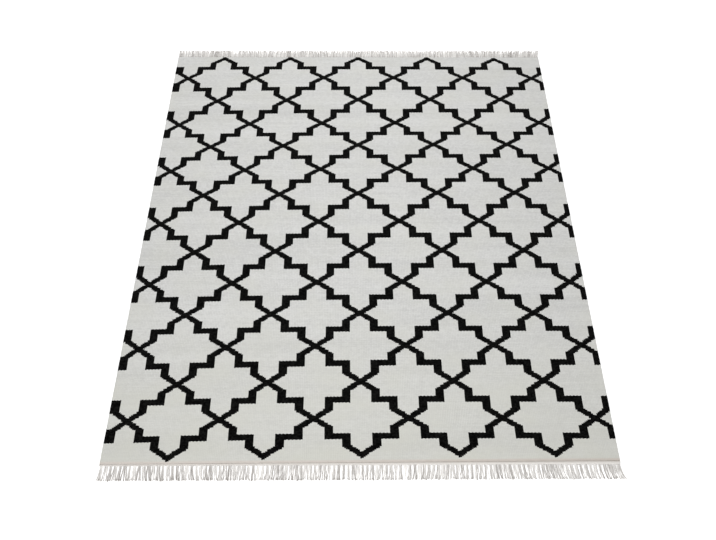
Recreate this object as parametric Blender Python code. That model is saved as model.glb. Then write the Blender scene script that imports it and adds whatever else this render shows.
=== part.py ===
"""Flat-woven wool rug with a cotton fringe at each end.

Three pieces, lying on the floor plane z = 0:
  cloth        the woven rug itself, one flat slab with rounded edges and two firm selvedges
  fringe_near  the heading and the cut warp ends at the near end (-Y)
  fringe_far   the same at the far end (+Y)

Metres, +Z up. The origin is on the floor, under the middle of the whole rug. +X runs across
the rug and +Y along it. The near end is woven a little askew, so the right-hand side of the
cloth is shorter than the left, and the near heading widens to make that up.
"""
import math
import random

import bmesh
import bpy

# Cloth, all in metres
CLOTH_WIDTH = 1.524          # five feet, selvedge to selvedge
CLOTH_LENGTH = 2.444         # eight feet, measured along the left-hand side
NEAR_SKEW = 0.016            # how far the near end runs in on the right-hand side
CLOTH_THICKNESS = 0.0046     # a heavy flat weave
SELVEDGE_WIDTH = 0.009       # firm edge over the doubled outer warps
SELVEDGE_RISE = 0.0006       # how far that edge stands above the rest
EDGE_ROUND = 0.0015          # radius of the worn edge
EDGE_STEPS = 3
CROSS_ROWS = 20              # stretches along the length, for even faces
CROSS_COLUMNS = 10           # stretches across, between the selvedges

# Fringe, all in metres
SEAM_GAP = 0.0003            # between the cloth's end and the heading
STRAND_COUNT = 110           # bunches of warp ends at each end of the rug
STRAND_WIDTH = 0.0072        # at the root
STRAND_TOP_SHARE = 0.55      # the top of a bunch is narrower than its foot
TIP_SHARE = 0.85             # width and height left at the tip
YARN_HEIGHT = 0.0036         # heading and bunches are this thick at the root
STRAND_STEPS = 3             # stretches along one bunch
CUT_UNEVEN = 0.0030          # how much shorter a bunch may be cut than the corner ones
LEAN_JITTER = 0.0018         # how far one bunch lies away from its neighbours' lean
SPLAY_REACH = 0.16           # the width, from each corner, over which its splay fades

# One row for each fringe: side is -1 for the near end and 1 for the far one, then the
# heading's width at the left and right, and how far the tips reach beyond the left and the
# right corner of the cloth. The leans are the sideways swings of the bunches: how far, and
# over what length of the edge. The splay is how far the bunches of the left and the right
# corner spread outwards instead.
FRINGES = [
    {"name": "fringe_near", "side": -1, "heading": (0.004, 0.012), "reach": (0.065, 0.071),
     "leans": [(0.0032, 1.00, 4.46), (0.0026, 0.59, 1.61), (0.0015, 0.15, 2.1)],
     "splay": (0.0005, 0.009), "seed": 11},
    {"name": "fringe_far", "side": 1, "heading": (0.005, 0.005), "reach": (0.060, 0.060),
     "leans": [(0.0035, 0.33, 1.9), (0.0030, 0.13, 0.4)], "splay": (0.005, 0.009),
     "seed": 23},
]

WHOLE_LENGTH = CLOTH_LENGTH + FRINGES[0]["reach"][0] + FRINGES[1]["reach"][0]
FAR_EDGE = WHOLE_LENGTH / 2 - FRINGES[1]["reach"][0]
NEAR_EDGE_LEFT = FAR_EDGE - CLOTH_LENGTH

MATERIALS = {
    "woven_wool": {"color": (0.61, 0.60, 0.57, 1.0), "roughness": 0.9},
    "cotton_yarn": {"color": (0.74, 0.72, 0.68, 1.0), "roughness": 0.85},
}


def clear_scene():
    for old in list(bpy.data.objects):
        bpy.data.objects.remove(old, do_unlink=True)


def make_material(name):
    """One Principled material with the piece's plain colour and roughness."""
    material = bpy.data.materials.new(name)
    material.use_nodes = True
    shader = material.node_tree.nodes["Principled BSDF"]
    shader.inputs["Base Color"].default_value = MATERIALS[name]["color"]
    shader.inputs["Roughness"].default_value = MATERIALS[name]["roughness"]
    shader.inputs["Metallic"].default_value = 0.0
    return material


def make_object(name, shape, material):
    """Turn a finished bmesh into a named object with its faces pointing outwards."""
    bmesh.ops.recalc_face_normals(shape, faces=shape.faces)
    mesh = bpy.data.meshes.new(name)
    shape.to_mesh(mesh)
    shape.free()
    piece = bpy.data.objects.new(name, mesh)
    piece.data.materials.append(material)
    bpy.context.scene.collection.objects.link(piece)
    return piece


def mix(first, second, share):
    return first + (second - first) * share


def across_share(x):
    """0 at the left side of the rug, 1 at the right."""
    return x / CLOTH_WIDTH + 0.5


def end_line(side, x):
    """Where the cloth ends, at the near (-1) or the far (+1) end."""
    if side > 0:
        return FAR_EDGE
    return NEAR_EDGE_LEFT + NEAR_SKEW * across_share(x)


def cloth_columns():
    """Each column's x and its height above the floor: a selvedge, the field, a selvedge."""
    half = CLOTH_WIDTH / 2
    inner = half - SELVEDGE_WIDTH
    raised = CLOTH_THICKNESS + SELVEDGE_RISE
    field = [(mix(-inner, inner, i / CROSS_COLUMNS), CLOTH_THICKNESS)
             for i in range(CROSS_COLUMNS + 1)]
    crown = half - SELVEDGE_WIDTH / 2
    return [(-half, CLOTH_THICKNESS), (-crown, raised)] + field + [(crown, raised),
                                                                   (half, CLOTH_THICKNESS)]


def add_cloth(material):
    """The woven slab: a grid above and below, joined round the rim, with rounded edges."""
    shape = bmesh.new()
    above = []
    below = []
    for row in range(CROSS_ROWS + 1):
        share = row / CROSS_ROWS
        for x, height in cloth_columns():
            y = mix(end_line(-1, x), end_line(1, x), share)
            above.append(shape.verts.new((x, y, height)))
            below.append(shape.verts.new((x, y, 0.0)))
    width = len(cloth_columns())
    last = CROSS_ROWS * width
    for row in range(CROSS_ROWS):
        for column in range(width - 1):
            a = row * width + column
            b = a + width
            shape.faces.new((above[a], above[a + 1], above[b + 1], above[b]))
            shape.faces.new((below[a], below[b], below[b + 1], below[a + 1]))
        for a in (row * width, row * width + width - 1):
            b = a + width
            shape.faces.new((above[a], above[b], below[b], below[a]))
    for column in range(width - 1):
        for a in (column, last + column):
            shape.faces.new((above[a], above[a + 1], below[a + 1], below[a]))
    bmesh.ops.recalc_face_normals(shape, faces=shape.faces)

    rim = [edge for edge in shape.edges
           if abs(edge.calc_face_angle(0.0)) > math.radians(60)
           and abs(edge.verts[0].co.z - edge.verts[1].co.z) < SELVEDGE_RISE * 2]
    bmesh.ops.bevel(shape, geom=rim, offset=EDGE_ROUND, segments=EDGE_STEPS, profile=0.5,
                    affect="EDGES", clamp_overlap=True)
    cloth = make_object("cloth", shape, material)
    cloth.data.shade_smooth()
    cloth.data.set_sharp_from_angle(angle=math.radians(40))
    return cloth


def bunch_paths(fringe):
    """For each bunch of ends: its root, its tip's swing sideways and how short it is cut."""
    chance = random.Random(fringe["seed"])
    pitch = CLOTH_WIDTH / STRAND_COUNT
    paths = []
    for i in range(STRAND_COUNT):
        root = -CLOTH_WIDTH / 2 + pitch * (i + 0.5)
        swing = chance.uniform(-LEAN_JITTER, LEAN_JITTER)
        for reach, length, start in fringe["leans"]:
            swing += reach * math.sin(2 * math.pi * root / length + start)
        left = max(0.0, 1 - (root + CLOTH_WIDTH / 2) / SPLAY_REACH)
        right = max(0.0, 1 - (CLOTH_WIDTH / 2 - root) / SPLAY_REACH)
        swing = mix(swing, 0.0, max(left, right))
        swing += fringe["splay"][1] * right - fringe["splay"][0] * left
        short = 0.0 if i in (0, STRAND_COUNT - 1) else chance.uniform(0.0, CUT_UNEVEN)
        paths.append((root, swing, short))
    return paths


def add_fringe(fringe, material):
    """The heading strip along the cloth's end, with every bunch drawn out of its face."""
    shape = bmesh.new()
    side = fringe["side"]
    paths = bunch_paths(fringe)
    half = CLOTH_WIDTH / 2
    foot = STRAND_WIDTH / 2
    crown = foot * STRAND_TOP_SHARE

    cuts = [(-half, -half)]
    for root, _, _ in paths:
        cuts += [(root - foot, root - crown), (root + foot, root + crown)]
    cuts.append((half, half))

    def strip_point(x, out, z):
        """A point on the heading: out is 0 at the cloth and 1 at the bunches."""
        depth = mix(fringe["heading"][0], fringe["heading"][1], across_share(x))
        return (x, end_line(side, x) + side * (SEAM_GAP + out * depth), z)

    columns = []
    for low_x, high_x in cuts:
        columns.append([shape.verts.new(strip_point(low_x, 0, 0.0)),
                        shape.verts.new(strip_point(high_x, 0, YARN_HEIGHT)),
                        shape.verts.new(strip_point(high_x, 1, YARN_HEIGHT)),
                        shape.verts.new(strip_point(low_x, 1, 0.0))])
    shape.faces.new(columns[0])
    shape.faces.new(columns[-1])
    root_faces = []
    for index in range(len(columns) - 1):
        here = columns[index]
        there = columns[index + 1]
        for corner in range(4):
            other = (corner + 1) % 4
            face = shape.faces.new((here[corner], here[other], there[other], there[corner]))
            if corner == 2 and index % 2 == 1:
                root_faces.append(face)
    bmesh.ops.recalc_face_normals(shape, faces=shape.faces)

    left_tip = end_line(side, -half) + side * fringe["reach"][0]
    right_tip = end_line(side, half) + side * fringe["reach"][1]
    for face, (root, swing, short) in zip(root_faces, paths):
        start = strip_point(root, 1, 0.0)[1]
        tip = mix(left_tip, right_tip, across_share(root)) - side * short
        for step in range(1, STRAND_STEPS + 1):
            share = step / STRAND_STEPS
            face = bmesh.ops.extrude_discrete_faces(shape, faces=[face])["faces"][0]
            middle = face.calc_center_median()
            size = mix(1.0, TIP_SHARE, share)
            for vert in face.verts:
                upper = vert.co.z > middle.z
                spread = math.copysign(crown if upper else foot, vert.co.x - middle.x)
                vert.co = (root + swing * share ** 2 + spread * size,
                           mix(start, tip, share),
                           YARN_HEIGHT * size if upper else 0.0)
    return make_object(fringe["name"], shape, material)


def main():
    clear_scene()
    add_cloth(make_material("woven_wool"))
    yarn = make_material("cotton_yarn")
    for fringe in FRINGES:
        add_fringe(fringe, yarn)


main()
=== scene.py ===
"""The look of a flat-woven wool rug: off-white, with a black stepped star trellis and a fringe.

The solids of the frame give the places: the woven cloth, and at each end a heading with its
bunches of cut warp ends. Here the cloth gets its weave and its figure, and the bunches become
plied cotton yarns. All sizes are in metres unless a name says mm.
"""

import math
import random

import bmesh
import bpy
import numpy as np
from mathutils import Matrix, Vector, noise


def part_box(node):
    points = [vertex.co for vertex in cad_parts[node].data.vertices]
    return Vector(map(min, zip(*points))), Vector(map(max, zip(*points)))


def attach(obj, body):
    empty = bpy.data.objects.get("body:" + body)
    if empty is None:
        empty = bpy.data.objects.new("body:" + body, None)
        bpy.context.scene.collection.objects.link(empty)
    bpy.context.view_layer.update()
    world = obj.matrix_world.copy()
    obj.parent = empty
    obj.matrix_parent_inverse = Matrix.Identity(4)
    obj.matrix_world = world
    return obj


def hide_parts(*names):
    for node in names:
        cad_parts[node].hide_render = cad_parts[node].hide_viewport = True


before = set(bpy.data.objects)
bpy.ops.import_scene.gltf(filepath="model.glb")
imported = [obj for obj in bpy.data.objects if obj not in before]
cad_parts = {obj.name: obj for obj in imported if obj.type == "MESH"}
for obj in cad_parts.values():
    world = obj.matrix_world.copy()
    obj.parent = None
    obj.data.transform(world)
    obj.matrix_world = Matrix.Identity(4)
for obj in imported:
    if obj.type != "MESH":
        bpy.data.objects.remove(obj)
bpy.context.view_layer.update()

# Cloth, as the frame has it
CLOTH_LOW, CLOTH_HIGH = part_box("cloth")
HALF_WIDTH = CLOTH_HIGH.x
NEAR_LEFT = CLOTH_LOW.y              # the near end, at the left-hand corner
FAR_END = CLOTH_HIGH.y
CLOTH_LENGTH = FAR_END - NEAR_LEFT
NEAR_SKEW = 0.016                    # how far the near end runs in on the right-hand side
SELVEDGE_RISE = 0.0006
CLOTH_THICKNESS = CLOTH_HIGH.z - SELVEDGE_RISE
SELVEDGE_WIDTH = 0.009
EDGE_ROUND = 0.0015
EDGE_STEPS = 3
CLOTH_ROWS = 244                     # stretches along the cloth, 10 mm each
CLOTH_COLUMNS = 48
SURFACE_LUMPS = 0.00035              # how far the lying cloth stands off a true plane
LUMP_SCALES = ((4, 4), (11, 17))     # lumps to a metre, across and along
LUMPS_FADE = 0.02                    # the lumps end over this width at the sides
SELVEDGE_WOBBLE = 0.0007             # how unevenly the weft turns at the sides
WOBBLE_SCALES = (70, 9)              # quick and slow turns to a metre
SMOOTH_ANGLE = math.radians(40)      # edges flatter than this are shaded smooth
RIM_ANGLE = math.radians(60)         # and those sharper than this are rounded off

# Weave. The figure is counted in warps and wefts, as a weaver counts it from a chart.
# Real wefts are about 1.2 mm, and are drawn at 3.6 mm so that they show from a few steps away.
WARPS_PER_STEP = 27                  # ribs of 5.3 mm from one line of knots to the next
WEFTS_PER_STEP = 48                  # rows of 3.6 mm from one line of knots to the next
WEAVE_DEPTH = 0.0006
BAKE_MARGIN = 0.012                  # empty border in the baked picture, in shares of its side

# Tones of the wool. The scales are shapes to a metre, across, along and up.
BAND_SCALE = (0.8, 11.0, 1.0)        # broad bands, where a new spinning or dye lot starts
STREAK_SCALE = (5.0, 210.0, 1.0)     # streaks of a few wefts
MOTTLE_SCALE = 60.0                  # small changes within a few stitches
BLOTCH_SCALE = 7.0                   # yellowed patches
BLOTCH_RANGE = (0.42, 0.66)          # the noise values between which a patch comes up
FIBRE_SCALE = 900.0
MOTTLE_SHARE = 0.8                   # weights in the sum of tones, beside band and streak at 1
STITCH_SHARE = 0.45
# painted shade in the hollows between the stitches, by this weight in the sum of tones
HOLLOW_SHADE_SHARE = 0.7
TONE_RANGE = (1.45, 2.36)            # the sums that give the dullest and the lightest wool
YELLOWED_PATCHES = 0.3
WARMER_NEAR_END = 0.45                  # how much warmer the near end is, fading out towards the middle
WARMER_UNTIL = -0.4                 # where that fading ends, along the rug
END_BAND_FADE = (0.006, 0.0125)          # the darker band at the near end, brownish yarn and painted shade, is full up to here and fades out
DYE_SHARES = (0.4, 0.9, -0.35)       # of the tone, of the stitch, and added to both

# Each line of knots across the rug, where four lines of the trellis meet, all in mm: how far
# its middle is from the far end of the cloth, how much nearer that end it is at the
# right-hand side than at the left, and how far right of their columns its knots were woven
# at the left-hand side, in the middle and at the right-hand side.
KNOT_ROWS = [
    # from far end, lean, left, middle, right
    (15, -5, 15, 2, 1),
    (175, 4, 8, 1, 5),
    (355, 22, 7, 1, 3),
    (536, 22, 5, 0, 2),
    (699, 28, 6, 0, 2),
    (867, 26, 5, 0, 5),
    (1032, 28, 5, -1, 4),
    (1211, 26, 3, 0, 4),
    (1389, 19, 2, 1, 4),
    (1570, 19, 1, 2, 3),
    (1740, 19, 1, 4, 4),
    (1906, 25, 4, 4, 2),
    (2081, 28, 7, 6, 2),
    (2250, 16, 8, 6, 2),
    (2407, 25, 9, 9, 5),
]
ROW_BOW = 9.0                        # mm by which a row's middle lies beyond its ends
# The lines of knots along the rug: how far each is from the middle, in mm
KNOT_COLUMNS = [-836, -713, -576, -433, -295, -146, -4, 143, 287, 428, 571, 712, 840]
COUNT_START = 2                      # counts start two knots outside the rug, to stay positive

# One arm of the trellis, from a knot to the middle of the next step, in shares of a step
ELBOW_ACROSS = 8.5 / WARPS_PER_STEP  # where the slanting part ends and the upright begins
ELBOW_ALONG = 0.246
UPRIGHT_HALF = 2.5 / WARPS_PER_STEP  # half of each part's breadth
UPRIGHT_CARRIED = 0.8                # how far in from its edge the outermost one is carried on
LEVEL_HALF = 4 / WEFTS_PER_STEP
SLANT_HALF = 0.119
KNOT_PINCH = 0.02                    # by how much two slanting parts narrow where they cross
PINCH_REACH = 0.12
POINT_HALF = 0.135                   # the same for the points of the stars at the two ends

# Headings
HEADING_HEIGHT = 0.0040
HEADING_TAPER = 0.35                 # what is left of that height where the yarns come out
HEADING_ROUND = 0.0006
HEADING_STRETCHES = 40
PICK_SCALE = 700.0                   # ridges to a metre
HEADING_MOTTLE_SCALE = 160.0
SEAM_BAND_FADE = 0.008                  # the darker first picks, brownish yarn and painted shade, fade out over this width

# Fringe, with the bunches where the frame has them
STRAND_COUNT = 110
LEAN_JITTER = 0.0018
SPLAY_REACH = 0.16
CUT_UNEVEN = 0.0030
CUT_SHARE = 0.4                      # how much of that the yarns of a bunch follow together
FAN_SIZES = (0.6, 1.2)               # the narrowest and widest fan of single yarns
SEAM_GAP = 0.0003
YARN_RADIUS = 0.0012
YARN_SIZES = (0.9, 1.12)             # the thinnest and the thickest yarn, in shares of that
YARN_LIFT = 0.0012                   # how far every second yarn rides up on its neighbours
YARN_SETTLE = 0.7                    # how much of that it has come down by at its tip
TIP_LIFT = 0.0004                    # how far a tip may stand off the floor
YARN_SIDES = 6
YARN_STEPS = 9
YARN_STRAY = 0.0014                  # how far one yarn swings away from its bunch
YARN_WAVE = (0.0003, 0.0010)         # how far it waves to the side
YARN_WAVES = (1.0, 2.2)              # and how often
ROOT_TUCK = 0.0030                   # how far a yarn starts inside the heading
ROOT_SLIM = 0.6                      # how thin it is there, in shares of its size
ROOT_SHARE = 0.1                     # the share of its length over which it comes out
YARN_TAPER = 0.1                     # how much thinner it is towards its tip
TIP_OPENING = 0.35                   # and how much thicker the opened end of the tip is
PLY_PITCH = 0.009                    # one turn of the two plies
TWIST_DEPTH = 0.0005
YARN_FIBRE_SCALE = 1400.0
PLY_HOLLOW_SHADE = 0.35                   # painted shade: how much darker the plies' hollows are than their crowns
TONE_GAIN = 0.85
YARN_TONES = 0.40                    # how far one yarn's tone lies from its bunch's
SHADED_ROOT = 0.2                    # the share of its length that a root shade covers
# The splay is how far the bunches of the left and the right corner spread outwards, and the
# fan is how far a bunch's outer yarns lie from its middle, at the root and at the tip.
# Ragged is how far a yarn may end beyond (minus) or short of its line, root shade is painted
# shade at the roots, between the bunches, tip shade is painted shade that darkens the opened
# tips, by the first amount at the left and the second at the right, the tones are the greyest
# and the whitest bunch, and the spread is by how much a bunch's own fan is narrower or wider.
FRINGES = [
    {"name": "near", "node": "fringe_near", "side": -1, "heading": (0.004, 0.012),
     "reach": (0.065, 0.071),
     "leans": [(0.0032, 1.00, 4.46), (0.0026, 0.59, 1.61), (0.0015, 0.15, 2.1)],
     "splay": (0.0005, 0.009), "seed": 11, "yarns": 6, "fan": (0.0032, 0.0062),
     "ragged": (-0.0032, 0.0022), "root_shade": 0.0, "tip_shade": (0.50, 0.12),
     "tones": (0.45, 0.90), "spread": (0.75, 1.55)},
    {"name": "far", "node": "fringe_far", "side": 1, "heading": (0.005, 0.005),
     "reach": (0.060, 0.060), "leans": [(0.0035, 0.33, 1.9), (0.0030, 0.13, 0.4)],
     "splay": (0.005, 0.009), "seed": 23, "yarns": 6, "fan": (0.0056, 0.0068),
     "ragged": (-0.0006, 0.0070), "root_shade": 1.2, "tip_shade": (0.25, 0.25),
     "tones": (0.50, 0.78), "spread": (0.9, 1.2)},
]

# Camera, at the viewer's place before the near end, looking down at the rug
CAMERA_PLACE = (-0.0197, -4.3423, 3.0649)
CAMERA_TILT = 36.963                 # degrees below level
CAMERA_TURN = -0.210
CAMERA_ROLL = 0.155
CAMERA_LENS = 74.58                  # mm, on a sensor 36 mm wide

# Studio. The floor gives light of its own round the rug, from a little inside its sides and
# its near end and from beyond its far fringe, and it comes up over the fade.
WORLD_STRENGTH = 0.53
KEY_PLACE = (-0.12, 1.1, 2.2)
KEY_SIZE = (0.8, 8.5)
KEY_WATTS = 67
FLOOR_SIZE = 24.0
FLOOR_DROP = 0.0002                  # keeps the floor clear of the undersides
FLOOR_GLOW = 0.42
GLOW_FADE = 0.02
GLOW_INSIDE_SIDES = 0.012
GLOW_INSIDE_NEAR = 0.006
GLOW_BEYOND_FAR = 0.03


def mix(first, second, share):
    return first + (second - first) * share


def across_share(x):
    """0 at the left side of the rug, 1 at the right."""
    return x / (2 * HALF_WIDTH) + 0.5


def end_line(side, x):
    """Where the cloth ends, at the near (-1) or the far (+1) end, for one x or many."""
    skew = NEAR_SKEW if side < 0 else 0.0
    return (NEAR_LEFT if side < 0 else FAR_END) + skew * across_share(x)


def linear(hex_color):
    """An sRGB hex colour as linear red, green, blue and alpha."""
    parts = [int(hex_color[i:i + 2], 16) / 255 for i in (1, 3, 5)]
    return tuple(p / 12.92 if p <= 0.04045 else ((p + 0.055) / 1.055) ** 2.4
                 for p in parts) + (1.0,)


def nothing_selected():
    if bpy.context.object and bpy.context.object.mode != "OBJECT":
        bpy.ops.object.mode_set(mode="OBJECT")
    bpy.ops.object.select_all(action="DESELECT")


def named(name):
    """Name the primitive that was just added, and its mesh, and settle its place."""
    piece = bpy.context.object
    piece.name = name
    piece.data.name = name
    bpy.ops.object.transform_apply(location=True, rotation=True, scale=True)
    return piece


def points_of(mesh):
    """The mesh's points as rows of x, y, z."""
    flat = np.empty(len(mesh.vertices) * 3)
    mesh.vertices.foreach_get("co", flat)
    return flat.reshape(-1, 3)


def move_points(mesh, points):
    mesh.vertices.foreach_set("co", points.ravel())
    mesh.update()


def corner_points(mesh):
    """For each face corner, the number of its point."""
    at = np.empty(len(mesh.loops), dtype=int)
    mesh.loops.foreach_get("vertex_index", at)
    return at


def set_map(mesh, name, places):
    """Write a UV map from one pair for each face corner."""
    layer = mesh.uv_layers.get(name) or mesh.uv_layers.new(name=name)
    layer.data.foreach_set("uv", np.ascontiguousarray(places, dtype=np.float32).ravel())


def add(tree, kind, inputs=(), **settings):
    """Add a shader node. Its inputs take values, or the nodes or sockets that they link to."""
    node = tree.nodes.new("ShaderNode" + kind)
    for key, value in settings.items():
        setattr(node, key, value)
    for key, value in (inputs.items() if isinstance(inputs, dict) else enumerate(inputs)):
        source = value.outputs[0] if isinstance(value, bpy.types.Node) else value
        if isinstance(source, bpy.types.NodeSocket):
            tree.links.new(source, node.inputs[key])
        else:
            node.inputs[key].default_value = source
    return node


def new_material(name):
    """An empty material, its node tree and its Principled shader."""
    material = bpy.data.materials.new(name)
    material.use_nodes = True
    return material, material.node_tree, material.node_tree.nodes["Principled BSDF"]


def trellis(tree, across, along):
    """1 where black is woven in, from the place counted in steps between knots."""
    fold_across = add(tree, "Math", (across, 1.0), operation="PINGPONG")
    fold_along = add(tree, "Math", (along, 1.0), operation="PINGPONG")
    turned = add(tree, "Math", (fold_along, 0.5), operation="GREATER_THAN")
    flipped = add(tree, "Math", (fold_across, turned), operation="SUBTRACT")
    near_x = add(tree, "Math", (flipped,), operation="ABSOLUTE")
    near_y = add(tree, "Math", (fold_along, 0.5), operation="PINGPONG")

    slope = ELBOW_ACROSS / ELBOW_ALONG
    on_slant = add(tree, "Math", (near_y, slope), operation="MULTIPLY")
    off_slant = add(tree, "Math", (near_x, on_slant), operation="SUBTRACT")
    slant = add(tree, "Math", (off_slant,), operation="ABSOLUTE")
    pinch = add(tree, "MapRange", {"Value": near_x, "From Min": 0.0, "From Max": PINCH_REACH,
                                   "To Min": KNOT_PINCH, "To Max": 0.0})
    slant = add(tree, "Math", (slant, pinch), operation="ADD")
    slant = add(tree, "Math", (slant, SLANT_HALF), operation="SUBTRACT")
    slant_end = add(tree, "Math", (near_x, ELBOW_ACROSS + UPRIGHT_HALF), operation="SUBTRACT")
    slant = add(tree, "Math", (slant, slant_end), operation="MAXIMUM")

    off_upright = add(tree, "Math", (near_x, ELBOW_ACROSS), operation="SUBTRACT")
    upright = add(tree, "Math", (off_upright,), operation="ABSOLUTE")
    upright = add(tree, "Math", (upright, UPRIGHT_HALF), operation="SUBTRACT")
    upright_end = add(tree, "Math", (ELBOW_ALONG, near_y), operation="SUBTRACT")
    upright = add(tree, "Math", (upright, upright_end), operation="MAXIMUM")

    off_level = add(tree, "Math", (near_x, 0.5), operation="SUBTRACT")
    level = add(tree, "Math", (off_level,), operation="ABSOLUTE")
    level = add(tree, "Math", (level, 0.5 - ELBOW_ACROSS + UPRIGHT_HALF), operation="SUBTRACT")
    level_end = add(tree, "Math", (0.5 - LEVEL_HALF, near_y), operation="SUBTRACT")
    level = add(tree, "Math", (level, level_end), operation="MAXIMUM")

    straight = add(tree, "Math", (upright, level), operation="MINIMUM")
    lines = add(tree, "Math", (slant, straight), operation="MINIMUM")

    # Past the first and last knots only the points of the stars are woven, not a crossing
    point = add(tree, "Math", (near_x, on_slant), operation="ADD")
    point = add(tree, "Math", (point, POINT_HALF), operation="SUBTRACT")
    last = (len(KNOT_ROWS) - 1) / 2
    from_middle = add(tree, "Math", (along, COUNT_START - 1 + last), operation="SUBTRACT")
    from_middle = add(tree, "Math", (from_middle,), operation="ABSOLUTE")
    outside = add(tree, "Math", (from_middle, last), operation="GREATER_THAN")
    edge = add(tree, "Mix", {0: outside, 2: lines, 3: point})
    return add(tree, "Math", (edge, 0.0), operation="LESS_THAN")


def stitches(tree):
    """The warp and weft that a point lies on, its height on that stitch, and 1 for black."""
    steps = add(tree, "UVMap", uv_map="Weave")
    counted = add(tree, "VectorMath", (steps, (WARPS_PER_STEP, WEFTS_PER_STEP, 1)),
                  operation="MULTIPLY")
    count = add(tree, "SeparateXYZ", (counted,)).outputs
    warp = add(tree, "Math", (count["X"],), operation="FLOOR")
    odd = add(tree, "Math", (warp, 2.0), operation="MODULO")
    shifted = add(tree, "Math", (odd, 0.5, count["Y"]), operation="MULTIPLY_ADD")
    weft = add(tree, "Math", (shifted,), operation="FLOOR")
    chart_x = add(tree, "Math", (warp, 0.5), operation="ADD")
    chart_x = add(tree, "Math", (chart_x, WARPS_PER_STEP), operation="DIVIDE")
    # The outermost uprights are carried on to the selvedges
    spare = 1 - ELBOW_ACROSS - UPRIGHT_CARRIED * UPRIGHT_HALF
    chart_x = add(tree, "Clamp", {"Value": chart_x, "Min": COUNT_START - 1 + spare,
                                  "Max": COUNT_START + len(KNOT_COLUMNS) - 2 - spare})
    chart_y = add(tree, "Math", (weft, 0.25), operation="ADD")
    chart_y = add(tree, "Math", (chart_y, WEFTS_PER_STEP), operation="DIVIDE")
    black = trellis(tree, chart_x, chart_y)

    # Each weft passes over one rib and under the next, so the stitches are small domes
    rib = add(tree, "Math", (count["X"], math.pi), operation="MULTIPLY")
    rib = add(tree, "Math", (rib,), operation="SINE")
    row = add(tree, "Math", (shifted, math.pi), operation="MULTIPLY")
    row = add(tree, "Math", (row,), operation="SINE")
    dome = add(tree, "Math", (rib, row), operation="MULTIPLY")
    dome = add(tree, "Math", (dome,), operation="ABSOLUTE")
    return warp, weft, dome, black


def wool_tone(tree, place, mottle, stitch, dome):
    """How light the wool is: broad bands, streaks, small changes, and painted shade in the hollows
    between the stitches.
    """
    band_place = add(tree, "VectorMath", (place, BAND_SCALE), operation="MULTIPLY")
    band = add(tree, "TexNoise", {"Vector": band_place, "Scale": 1.0, "Detail": 3.0})
    streak_place = add(tree, "VectorMath", (place, STREAK_SCALE), operation="MULTIPLY")
    streak = add(tree, "TexNoise", {"Vector": streak_place, "Scale": 1.0, "Detail": 2.0})
    tone = add(tree, "Math", (band, streak), operation="ADD")
    tone = add(tree, "Math", (mottle, MOTTLE_SHARE, tone), operation="MULTIPLY_ADD")
    tone = add(tree, "Math", (stitch, STITCH_SHARE, tone), operation="MULTIPLY_ADD")
    # Painted shade: the hollows between the stitches come out darker
    tone = add(tree, "Math", (dome, HOLLOW_SHADE_SHARE, tone), operation="MULTIPLY_ADD")
    return add(tree, "MapRange", {"Value": tone, "From Min": TONE_RANGE[0],
                                  "From Max": TONE_RANGE[1]})


def undyed_ground(tree, place, mottle, tone):
    """The colour of the wool left without dye, which yellows in patches and is warmer towards the
    near end.
    """
    ground = add(tree, "Mix", {0: tone, 6: linear("#C4C4C2"), 7: linear("#DBDBD9")},
                 data_type="RGBA")
    blotch = add(tree, "TexNoise", {"Vector": place, "Scale": BLOTCH_SCALE, "Detail": 3.0})
    warm = add(tree, "MapRange", {"Value": blotch, "From Min": BLOTCH_RANGE[0],
                                  "From Max": BLOTCH_RANGE[1], "To Min": 0.0,
                                  "To Max": YELLOWED_PATCHES})
    at = add(tree, "SeparateXYZ", (place,)).outputs
    # Warmer towards the near end
    to_near = add(tree, "MapRange", {"Value": at["Y"], "From Min": NEAR_LEFT,
                                     "From Max": WARMER_UNTIL, "To Min": WARMER_NEAR_END,
                                     "To Max": 0.0})
    warm = add(tree, "Math", (warm, to_near), operation="ADD")
    ground = add(tree, "Mix", {0: warm, 6: ground.outputs[2], 7: linear("#D0D0C6")},
                 data_type="RGBA")

    # The last picks before the heading are darker, deeper to the right: partly a brownish yarn
    # left without dye, partly painted shade in the crease at the seam with the heading
    from_end = add(tree, "Attribute", attribute_name="from_end")
    at_end = add(tree, "MapRange", {"Value": from_end.outputs["Fac"],
                                    "From Min": END_BAND_FADE[0], "From Max": END_BAND_FADE[1],
                                    "To Min": 1.0, "To Max": 0.0})
    to_right = add(tree, "MapRange", {"Value": at["X"], "From Min": -HALF_WIDTH,
                                      "From Max": HALF_WIDTH, "To Min": -0.5, "To Max": 0.5})
    deeper = add(tree, "Math", (mottle, to_right), operation="ADD")
    end_yarn_and_shade = add(tree, "Mix", {0: deeper, 6: linear("#D6CFC8"), 7: linear("#CAC2BA")},
                 data_type="RGBA")
    return add(tree, "Mix", {0: at_end, 6: ground.outputs[2], 7: end_yarn_and_shade.outputs[2]},
               data_type="RGBA")


def black_dye(tree, tone, stitch):
    """The colour of the dyed wool. The dye took unevenly from one stitch to the next."""
    of_tone, of_stitch, start = DYE_SHARES
    # The tone brings the painted shade of the stitches' hollows into the black as well
    dye = add(tree, "Math", (tone, of_tone, start), operation="MULTIPLY_ADD")
    dye = add(tree, "Math", (stitch, of_stitch, dye), operation="MULTIPLY_ADD")
    return add(tree, "Mix", {0: dye, 6: linear("#000000"), 7: linear("#181817")},
               data_type="RGBA")


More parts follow.
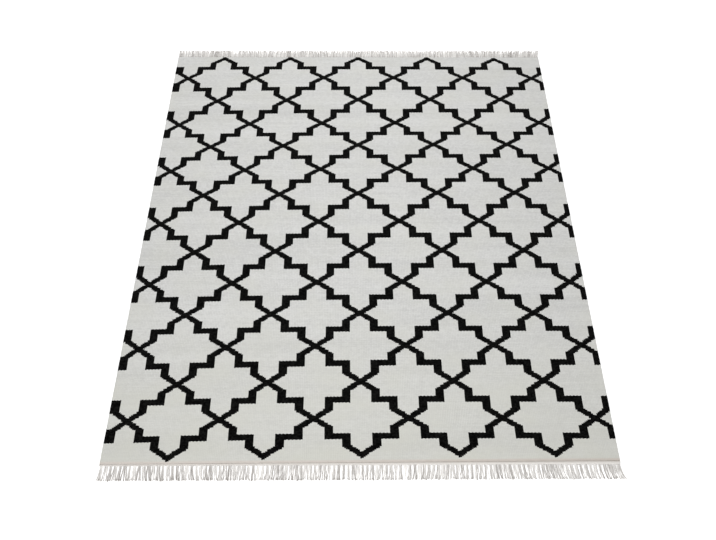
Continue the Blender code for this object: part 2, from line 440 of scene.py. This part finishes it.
def woven_wool():
    """Weft-faced wool cloth: dull and close-ribbed, uneven in tone, with a trace of fuzz."""
    material, tree, shader = new_material("woven_wool")
    warp, weft, dome, black = stitches(tree)
    stitch_at = add(tree, "CombineXYZ", (warp, weft, 0.0))
    stitch = add(tree, "TexWhiteNoise", {"Vector": stitch_at},
                 noise_dimensions="2D").outputs["Value"]
    place = add(tree, "TexCoord").outputs["Object"]
    mottle = add(tree, "TexNoise", {"Vector": place, "Scale": MOTTLE_SCALE, "Detail": 3.0})
    tone = wool_tone(tree, place, mottle, stitch, dome)
    ground = undyed_ground(tree, place, mottle, tone)
    dark = black_dye(tree, tone, stitch)
    cloth = add(tree, "Mix", {0: black, 6: ground.outputs[2], 7: dark.outputs[2]},
                data_type="RGBA")
    fibre = add(tree, "TexNoise", {"Vector": place, "Scale": FIBRE_SCALE, "Detail": 2.0})
    height = add(tree, "Math", (fibre, 0.25, dome), operation="MULTIPLY_ADD")
    bump = add(tree, "Bump", {"Height": height, "Distance": WEAVE_DEPTH, "Strength": 0.6})

    tree.links.new(cloth.outputs[2], shader.inputs["Base Color"])
    tree.links.new(bump.outputs[0], shader.inputs["Normal"])
    shader.inputs["Roughness"].default_value = 0.95
    shader.inputs["Specular IOR Level"].default_value = 0.02
    shader.inputs["Sheen Weight"].default_value = 0.015
    return material


def cotton_yarn():
    """Undyed plied cotton: cream white, soft, with a slanting twist and painted shade in its
    hollows.
    """
    material, tree, shader = new_material("cotton_yarn")
    ply = add(tree, "UVMap", uv_map="Ply")
    part = add(tree, "SeparateXYZ", (ply,)).outputs
    # Two plies to a turn: u runs once round the yarn and v is the length in metres
    along = add(tree, "Math", (part["Y"], 1.0 / PLY_PITCH), operation="MULTIPLY")
    turn = add(tree, "Math", (part["X"], along), operation="ADD")
    turn = add(tree, "Math", (turn, 2.0 * math.pi), operation="MULTIPLY")
    twist = add(tree, "Math", (turn,), operation="SINE")
    twist = add(tree, "Math", (twist,), operation="ABSOLUTE")
    place = add(tree, "TexCoord").outputs["Object"]
    fibre = add(tree, "TexNoise", {"Vector": place, "Scale": YARN_FIBRE_SCALE, "Detail": 2.0})
    height = add(tree, "Math", (fibre, 0.3, twist), operation="MULTIPLY_ADD")
    bump = add(tree, "Bump", {"Height": height, "Distance": TWIST_DEPTH, "Strength": 0.7})
    own = add(tree, "Attribute", attribute_name="yarn_tone")
    # Painted shade: the plies' hollows are darker than their crowns
    shade = add(tree, "Math", (twist, PLY_HOLLOW_SHADE, own.outputs["Fac"]),
                operation="MULTIPLY_ADD")
    shade = add(tree, "Math", (shade, TONE_GAIN), operation="MULTIPLY", use_clamp=True)
    color = add(tree, "Mix", {0: shade, 6: linear("#A09A95"), 7: linear("#FDFBF8")},
                data_type="RGBA")
    tree.links.new(color.outputs[2], shader.inputs["Base Color"])
    tree.links.new(bump.outputs[0], shader.inputs["Normal"])
    shader.inputs["Roughness"].default_value = 0.85
    shader.inputs["Specular IOR Level"].default_value = 0.2
    shader.inputs["Sheen Weight"].default_value = 0.05
    return material


def cotton_heading():
    """A few close picks of the same cotton, seen as fine ridges across the rug's end."""
    material, tree, shader = new_material("cotton_heading")
    place = add(tree, "TexCoord").outputs["Object"]
    at = add(tree, "SeparateXYZ", (place,)).outputs
    ridge = add(tree, "Math", (at["Y"], PICK_SCALE * math.pi), operation="MULTIPLY")
    ridge = add(tree, "Math", (ridge,), operation="SINE")
    ridge = add(tree, "Math", (ridge,), operation="ABSOLUTE")
    mottle = add(tree, "TexNoise", {"Vector": place, "Scale": HEADING_MOTTLE_SCALE, "Detail": 3.0})
    height = add(tree, "Math", (mottle, 0.6, ridge), operation="MULTIPLY_ADD")
    bump = add(tree, "Bump", {"Height": height, "Distance": TWIST_DEPTH, "Strength": 0.6})
    white = add(tree, "Mix", {0: mottle, 6: linear("#EFEAE5"), 7: linear("#FBF8F4")},
                data_type="RGBA")
    # The first picks are beaten in hard against the cloth and share its last, brownish yarn; their
    # darkening is partly painted shade in the crease at the seam
    out = add(tree, "Attribute", attribute_name="out")
    first = add(tree, "MapRange", {"Value": out.outputs["Fac"], "From Min": 0.0,
                                   "From Max": SEAM_BAND_FADE, "To Min": 1.0, "To Max": 0.0})
    to_right = add(tree, "MapRange", {"Value": at["X"], "From Min": -HALF_WIDTH,
                                      "From Max": HALF_WIDTH})
    end_yarn_and_shade = add(tree, "Mix", {0: to_right, 6: linear("#DAD4CD"), 7: linear("#C4BDB5")},
                 data_type="RGBA")
    color = add(tree, "Mix", {0: first, 6: white.outputs[2], 7: end_yarn_and_shade.outputs[2]},
                data_type="RGBA")
    tree.links.new(color.outputs[2], shader.inputs["Base Color"])
    tree.links.new(bump.outputs[0], shader.inputs["Normal"])
    shader.inputs["Roughness"].default_value = 0.88
    shader.inputs["Specular IOR Level"].default_value = 0.2
    return material


def studio_floor():
    """A painted studio floor: near white, matt, with a faint roller mottle."""
    material, tree, shader = new_material("studio_floor")
    place = add(tree, "TexCoord").outputs["Object"]
    mottle = add(tree, "TexNoise", {"Vector": place, "Scale": 2.0, "Detail": 2.0})
    color = add(tree, "Mix", {0: mottle, 6: linear("#FAFAFA"), 7: linear("#FCFCFC")},
                data_type="RGBA")
    tree.links.new(color.outputs[2], shader.inputs["Base Color"])
    # The studio lights its sweep on its own around the rug, so that it stays white there
    near_y = NEAR_LEFT + GLOW_INSIDE_NEAR
    far_y = FAR_END + GLOW_BEYOND_FAR
    middle = (0.0, (near_y + far_y) / 2, 0.0)
    reach = (HALF_WIDTH - GLOW_INSIDE_SIDES, (far_y - near_y) / 2, 0.0)
    outside = add(tree, "VectorMath", (place, middle), operation="SUBTRACT")
    outside = add(tree, "VectorMath", (outside,), operation="ABSOLUTE")
    outside = add(tree, "VectorMath", (outside, reach), operation="SUBTRACT")
    part = add(tree, "SeparateXYZ", (outside,)).outputs
    distance = add(tree, "Math", (part["X"], part["Y"]), operation="MAXIMUM")
    glow = add(tree, "MapRange", {"Value": distance, "From Min": 0.0, "From Max": GLOW_FADE,
                                  "To Min": 0.0, "To Max": FLOOR_GLOW})
    tree.links.new(glow.outputs[0], shader.inputs["Emission Strength"])
    shader.inputs["Emission Color"].default_value = (1, 1, 1, 1)
    shader.inputs["Roughness"].default_value = 0.9
    shader.inputs["Specular IOR Level"].default_value = 0.1
    return material


def extended(values):
    """The values with one more at each end, a like step further."""
    return [2 * values[0] - values[1]] + list(values) + [2 * values[-1] - values[-2]]


def knot_count(points):
    """Each point's place in the weave, in steps between knots, across and along."""
    across = points[:, 0] / (2 * HALF_WIDTH)
    from_far = (FAR_END - points[:, 1]) * 1000
    rows = extended([row[0] for row in KNOT_ROWS])
    lean, left, middle, right = (
        np.interp(from_far, rows, extended([row[column] for row in KNOT_ROWS]))
        for column in range(1, 5))
    straightened = from_far + lean * across + ROW_BOW * (1 / 3 - 4 * across ** 2)
    count_y = np.interp(straightened, rows, np.arange(len(rows)) - 2)

    shift = mix(middle, np.where(across < 0, left, right), np.abs(2 * across))
    columns = extended(KNOT_COLUMNS)
    count_x = np.interp(points[:, 0] * 1000 - shift, columns, np.arange(len(columns)) - 2)
    return np.stack([count_x, count_y], axis=1) + COUNT_START


def select_rims():
    """In edit mode, select the edges where the side walls meet the face and the back."""
    shape = bmesh.from_edit_mesh(bpy.context.object.data)
    for edge in shape.edges:
        level = abs(edge.verts[0].co.z - edge.verts[1].co.z) < CLOTH_THICKNESS / 2
        edge.select_set(level and edge.calc_face_angle(0.0) > RIM_ANGLE)
    bmesh.update_edit_mesh(bpy.context.object.data)


def spread_for_bake(mesh):
    """A map with the face and its rims over most of the picture and the back beside them."""
    margin = BAKE_MARGIN
    face_scale = (1 - 2 * margin) / (CLOTH_LENGTH + 4 * CLOTH_THICKNESS)
    back_start = 2 * margin + (2 * HALF_WIDTH + 4 * CLOTH_THICKNESS) * face_scale
    back_scale = (1 - margin - back_start) / (2 * HALF_WIDTH)
    points = points_of(mesh)
    at = corner_points(mesh)
    normals = np.empty(len(mesh.polygons) * 3)
    mesh.polygons.foreach_get("normal", normals)
    counts = np.empty(len(mesh.polygons), dtype=int)
    mesh.polygons.foreach_get("loop_total", counts)
    is_back = np.repeat(normals.reshape(-1, 3)[:, 2] < -0.9, counts)
    x, y, z = points[at].T
    drop = np.clip(CLOTH_THICKNESS - z, 0, None)
    at_side = np.abs(x) > HALF_WIDTH - 1.5 * EDGE_ROUND
    at_end = (y > FAR_END - 1.5 * EDGE_ROUND) | (y < end_line(-1, x) + 1.5 * EDGE_ROUND)
    wide = x + np.where(at_side, np.sign(x) * drop, 0)
    long = y + np.where(at_end, np.sign(y) * drop, 0)
    face_u = margin + (wide + HALF_WIDTH + 2 * CLOTH_THICKNESS) * face_scale
    face_v = margin + (long - NEAR_LEFT + 2 * CLOTH_THICKNESS) * face_scale
    back_u = back_start + (HALF_WIDTH - x) * back_scale
    back_v = margin + (y - NEAR_LEFT) * back_scale
    set_map(mesh, "OFBake", np.stack([np.where(is_back, back_u, face_u),
                                      np.where(is_back, back_v, face_v)], axis=1))


def lay_unevenly(points):
    """Skew the near end, turn the wefts unevenly at the sides and give the face low lumps."""
    share = (points[:, 1] - NEAR_LEFT) / CLOTH_LENGTH
    points[:, 1] = mix(end_line(-1, points[:, 0]), FAR_END, share)
    for point in points:
        x, y, z = point
        inset = HALF_WIDTH - abs(x)
        if inset < SELVEDGE_WIDTH:
            turn = noise.noise(Vector((math.copysign(9.0, x), y * WOBBLE_SCALES[0], 0)))
            slow = noise.noise(Vector((math.copysign(3.0, x), y * WOBBLE_SCALES[1], 5)))
            point[0] += SELVEDGE_WOBBLE * (turn + slow)
            crown = 1 - abs(2 * inset / SELVEDGE_WIDTH - 1)
            point[2] += SELVEDGE_RISE * max(0.0, crown) * z / CLOTH_THICKNESS
        lump = sum(noise.noise(Vector((x * across, y * along, layer)))
                   for layer, (across, along) in enumerate(LUMP_SCALES, start=1))
        lump *= min(1, inset / LUMPS_FADE) * (z > CLOTH_THICKNESS / 2)
        point[2] += SURFACE_LUMPS * lump


def make_cloth(wool):
    """The woven cloth: a fine grid, thickened and rounded, then laid a little unevenly."""
    nothing_selected()
    middle = (NEAR_LEFT + FAR_END) / 2
    bpy.ops.mesh.primitive_grid_add(x_subdivisions=CLOTH_COLUMNS, y_subdivisions=CLOTH_ROWS,
                                    size=1.0, location=(0, middle, 0))
    bpy.context.object.scale = (2 * HALF_WIDTH, CLOTH_LENGTH, 1)
    cloth = named("woven_cloth")
    bpy.ops.object.mode_set(mode="EDIT")
    for inset in (SELVEDGE_WIDTH, SELVEDGE_WIDTH / 2):
        for side in (-1, 1):
            bpy.ops.mesh.select_all(action="SELECT")
            bpy.ops.mesh.bisect(plane_co=(side * (HALF_WIDTH - inset), 0, 0),
                                plane_no=(1, 0, 0))
    bpy.ops.mesh.select_all(action="SELECT")
    bpy.ops.mesh.extrude_region_move(
        TRANSFORM_OT_translate={"value": (0, 0, CLOTH_THICKNESS)})
    bpy.ops.mesh.select_all(action="SELECT")
    bpy.ops.mesh.normals_make_consistent(inside=False)
    bpy.ops.mesh.select_all(action="DESELECT")
    select_rims()
    bpy.ops.mesh.bevel(offset=EDGE_ROUND, segments=EDGE_STEPS, affect="EDGES")
    bpy.ops.object.mode_set(mode="OBJECT")

    points = points_of(cloth.data)
    lay_unevenly(points)
    move_points(cloth.data, points)

    at = corner_points(cloth.data)
    set_map(cloth.data, "Weave", knot_count(points)[at])
    spread_for_bake(cloth.data)
    from_end = cloth.data.attributes.new("from_end", "FLOAT", "POINT")
    from_end.data.foreach_set("value", points[:, 1] - end_line(-1, points[:, 0]))
    cloth.data.materials.append(wool)
    nothing_selected()
    cloth.select_set(True)
    bpy.context.view_layer.objects.active = cloth
    bpy.ops.object.shade_smooth_by_angle(angle=SMOOTH_ANGLE)
    return cloth


def bunch_paths(fringe):
    """For each bunch of ends: its root, its tip's swing sideways and how short it is cut."""
    chance = random.Random(fringe["seed"])
    pitch = 2 * HALF_WIDTH / STRAND_COUNT
    paths = []
    for i in range(STRAND_COUNT):
        root = -HALF_WIDTH + pitch * (i + 0.5)
        swing = chance.uniform(-LEAN_JITTER, LEAN_JITTER)
        for reach, length, start in fringe["leans"]:
            swing += reach * math.sin(2 * math.pi * root / length + start)
        left = max(0.0, 1 - (root + HALF_WIDTH) / SPLAY_REACH)
        right = max(0.0, 1 - (HALF_WIDTH - root) / SPLAY_REACH)
        swing = mix(swing, 0.0, max(left, right))
        swing += fringe["splay"][1] * right - fringe["splay"][0] * left
        short = 0.0 if i in (0, STRAND_COUNT - 1) else chance.uniform(0.0, CUT_UNEVEN)
        paths.append((root, swing, short))
    return paths


def heading_edge(fringe, x):
    """Where the bunches leave the heading."""
    depth = mix(fringe["heading"][0], fringe["heading"][1], across_share(x))
    return end_line(fringe["side"], x) + fringe["side"] * (SEAM_GAP + depth)


def tip_line(fringe, x):
    """Where the bunches are cut, before each one's own unevenness."""
    side = fringe["side"]
    left_reach, right_reach = fringe["reach"]
    left_tip = end_line(side, -HALF_WIDTH) + side * left_reach
    right_tip = end_line(side, HALF_WIDTH) + side * right_reach
    return mix(left_tip, right_tip, across_share(x))


def straight_yarn():
    """One cotton end, made once: round, along +Y from 0 to 1, with a blunt cut tip."""
    nothing_selected()
    bpy.ops.mesh.primitive_cylinder_add(vertices=YARN_SIDES, radius=YARN_RADIUS, depth=1.0,
                                        location=(0, 0.5, 0),
                                        rotation=(-math.pi / 2, 0, 0))
    yarn = named("yarn_pattern")
    bpy.ops.object.mode_set(mode="EDIT")
    for step in range(1, YARN_STEPS):
        bpy.ops.mesh.select_all(action="SELECT")
        bpy.ops.mesh.bisect(plane_co=(0, step / YARN_STEPS, 0), plane_no=(0, 1, 0))
    bpy.ops.mesh.select_all(action="DESELECT")
    shape = bmesh.from_edit_mesh(yarn.data)
    for face in shape.faces:
        face.select_set(face.calc_center_median().y > 1 - 1e-4)
    bmesh.update_edit_mesh(yarn.data)
    bpy.ops.mesh.inset(thickness=YARN_RADIUS * 0.35, depth=YARN_RADIUS * 0.1)
    bpy.ops.object.mode_set(mode="OBJECT")
    bpy.ops.object.shade_smooth()

    # u runs once round the yarn, without a jump inside a face, and v along it
    points = points_of(yarn.data)
    places = []
    for face in yarn.data.polygons:
        centre = math.atan2(face.center.z, face.center.x) / (2 * math.pi)
        for number in face.vertices:
            x, y, z = points[number]
            around = math.atan2(z, x) / (2 * math.pi)
            around += round(centre - around)
            places.append((around, y))
    while yarn.data.uv_layers:
        yarn.data.uv_layers.remove(yarn.data.uv_layers[0])
    set_map(yarn.data, "Ply", np.array(places))
    return yarn


def lay_yarn(pattern, fringe, bunch, number, chance):
    """Copy the straight yarn and lay it on the floor along its bunch."""
    root, swing, short, bunch_tone, spread = bunch
    side = fringe["side"]
    copy = bpy.data.objects.new("yarn", pattern.data.copy())
    bpy.context.scene.collection.objects.link(copy)
    points = points_of(copy.data)
    share = np.clip(points[:, 1], 0, 1)
    beyond = points[:, 1] - share

    start = heading_edge(fringe, root) - side * ROOT_TUCK
    cut = CUT_SHARE * short + chance.uniform(*fringe["ragged"])
    tip = tip_line(fringe, root) - side * cut

    # Sideways it leaves the root straight, swings with its bunch, fans out and waves
    swing += chance.gauss(0, YARN_STRAY)
    place_in_bunch = 2 * number / (fringe["yarns"] - 1) - 1
    fan = spread * mix(fringe["fan"][0], fringe["fan"][1] * chance.uniform(*FAN_SIZES), share)
    wave = chance.uniform(*YARN_WAVE)
    waves = chance.uniform(*YARN_WAVES)
    begin = chance.uniform(0, 2 * math.pi)
    middle = (root + fan * place_in_bunch + swing * share ** 2
              + wave * share * np.sin(waves * 2 * math.pi * share + begin))

    # It is thin where it comes out of the heading, and rides on its neighbours
    come_out = np.minimum(share / ROOT_SHARE, 1)
    size = 1 - YARN_TAPER * share + TIP_OPENING * share ** 9
    size *= chance.uniform(*YARN_SIZES)
    size *= mix(ROOT_SLIM, 1.0, come_out)
    lift = YARN_LIFT * (number % 2) * (1 - YARN_SETTLE * share) * come_out
    lift += chance.uniform(0, TIP_LIFT) * share
    moved = np.stack([
        middle + points[:, 0] * size,
        mix(start, tip, share) + side * beyond,
        YARN_RADIUS * size + lift + points[:, 2] * size,
    ], axis=1)
    if side < 0:
        copy.data.flip_normals()
    move_points(copy.data, moved)

    # The plies turn once in each pitch, so the map's v becomes the real length
    layer = copy.data.uv_layers["Ply"].data
    places = np.empty(len(layer) * 2)
    layer.foreach_get("uv", places)
    places = places.reshape(-1, 2)
    places[:, 1] = places[:, 1] * abs(tip - start) + chance.uniform(0, PLY_PITCH)
    set_map(copy.data, "Ply", places)

    tone = copy.data.attributes.new("yarn_tone", "FLOAT", "POINT")
    own = bunch_tone + chance.uniform(-YARN_TONES, YARN_TONES)
    # Root shade and tip shade are painted shade, taken off the yarn's own tone
    root_shade = fringe["root_shade"] * chance.random() ** 3
    tip_shade = mix(*fringe["tip_shade"], across_share(root))
    tone.data.foreach_set("value", own - root_shade * np.clip(1 - share / SHADED_ROOT, 0, 1)
                          - tip_shade * share)
    return copy


def make_yarns(fringe, pattern, cotton):
    """All the yarns of one fringe, joined into one piece."""
    chance = random.Random(fringe["seed"] + 100)
    copies = []
    for path in bunch_paths(fringe):
        bunch = (*path, chance.uniform(*fringe["tones"]), chance.uniform(*fringe["spread"]))
        copies += [lay_yarn(pattern, fringe, bunch, number, chance)
                   for number in range(fringe["yarns"])]
    nothing_selected()
    for copy in copies:
        copy.select_set(True)
    bpy.context.view_layer.objects.active = copies[0]
    bpy.ops.object.join()
    yarns = bpy.context.object
    yarns.name = "fringe_yarns_" + fringe["name"]
    yarns.data.name = yarns.name
    yarns.data.materials.append(cotton)
    return yarns


def make_heading(fringe, cotton):
    """The narrow woven band between the cloth and the loose ends."""
    nothing_selected()
    bpy.ops.mesh.primitive_cube_add(size=1.0, location=(0, 0.5, HEADING_HEIGHT / 2))
    bpy.context.object.scale = (2 * HALF_WIDTH, 1.0, HEADING_HEIGHT)
    band = named("heading_" + fringe["name"])
    bpy.ops.object.mode_set(mode="EDIT")
    for step in range(1, HEADING_STRETCHES):
        bpy.ops.mesh.select_all(action="SELECT")
        x = mix(-HALF_WIDTH, HALF_WIDTH, step / HEADING_STRETCHES)
        bpy.ops.mesh.bisect(plane_co=(x, 0, 0), plane_no=(1, 0, 0))
    bpy.ops.mesh.select_all(action="SELECT")
    bpy.ops.mesh.bisect(plane_co=(0, 0.5, 0), plane_no=(0, 1, 0))
    bpy.ops.object.mode_set(mode="OBJECT")
    points = points_of(band.data)
    out = points[:, 1]
    points[:, 2] *= mix(1.0, HEADING_TAPER, out)
    start = end_line(fringe["side"], points[:, 0]) + fringe["side"] * SEAM_GAP
    points[:, 1] = mix(start, heading_edge(fringe, points[:, 0]), out)
    move_points(band.data, points)
    bpy.ops.object.mode_set(mode="EDIT")
    bpy.ops.mesh.select_all(action="SELECT")
    bpy.ops.mesh.normals_make_consistent(inside=False)
    shape = bmesh.from_edit_mesh(band.data)
    for edge in shape.edges:
        edge.select_set(all(v.co.z > HEADING_HEIGHT / 4 for v in edge.verts)
                        and edge.calc_face_angle(0.0) > RIM_ANGLE)
    bmesh.update_edit_mesh(band.data)
    bpy.ops.mesh.bevel(offset=HEADING_ROUND, segments=EDGE_STEPS, affect="EDGES")
    bpy.ops.object.mode_set(mode="OBJECT")
    bpy.ops.object.shade_smooth_by_angle(angle=SMOOTH_ANGLE)
    points = points_of(band.data)
    out = band.data.attributes.new("out", "FLOAT", "POINT")
    out.data.foreach_set("value",
                         np.abs(points[:, 1] - end_line(fringe["side"], points[:, 0])))
    band.data.materials.append(cotton)
    return band


def make_floor():
    nothing_selected()
    bpy.ops.mesh.primitive_plane_add(size=FLOOR_SIZE, location=(0, 0, -FLOOR_DROP))
    floor = named("studio_floor")
    floor.data.materials.append(studio_floor())


def make_studio():
    """Even white surroundings and one long soft light, hung level over the rug's length."""
    world = bpy.data.worlds.new("studio")
    world.use_nodes = True
    backdrop = world.node_tree.nodes["Background"]
    backdrop.inputs["Color"].default_value = (1, 1, 1, 1)
    backdrop.inputs["Strength"].default_value = WORLD_STRENGTH
    bpy.context.scene.world = world
    data = bpy.data.lights.new("key_light", "AREA")
    data.shape = "RECTANGLE"
    data.size, data.size_y = KEY_SIZE
    data.energy = KEY_WATTS
    light = bpy.data.objects.new("key_light", data)
    bpy.context.scene.collection.objects.link(light)
    light.location = KEY_PLACE
    bpy.context.scene.view_settings.view_transform = "Standard"


def make_camera():
    data = bpy.data.cameras.new("camera")
    data.lens = CAMERA_LENS
    data.sensor_width = 36.0
    camera = bpy.data.objects.new("camera", data)
    bpy.context.scene.collection.objects.link(camera)
    camera.matrix_world = (Matrix.Translation(CAMERA_PLACE)
                           @ Matrix.Rotation(math.radians(CAMERA_TURN), 4, "Z")
                           @ Matrix.Rotation(math.radians(90 - CAMERA_TILT), 4, "X")
                           @ Matrix.Rotation(math.radians(CAMERA_ROLL), 4, "Z"))
    bpy.context.scene.camera = camera


make_camera()
make_studio()
make_floor()

cloth = make_cloth(woven_wool())
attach(cloth, "root")
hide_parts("cloth")

pattern = straight_yarn()
yarn_material = cotton_yarn()
heading_material = cotton_heading()
for fringe in FRINGES:
    yarns = make_yarns(fringe, pattern, yarn_material)
    heading = make_heading(fringe, heading_material)
    for piece in (yarns, heading):
        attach(piece, "root")
        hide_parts(fringe["node"])
bpy.data.objects.remove(pattern)
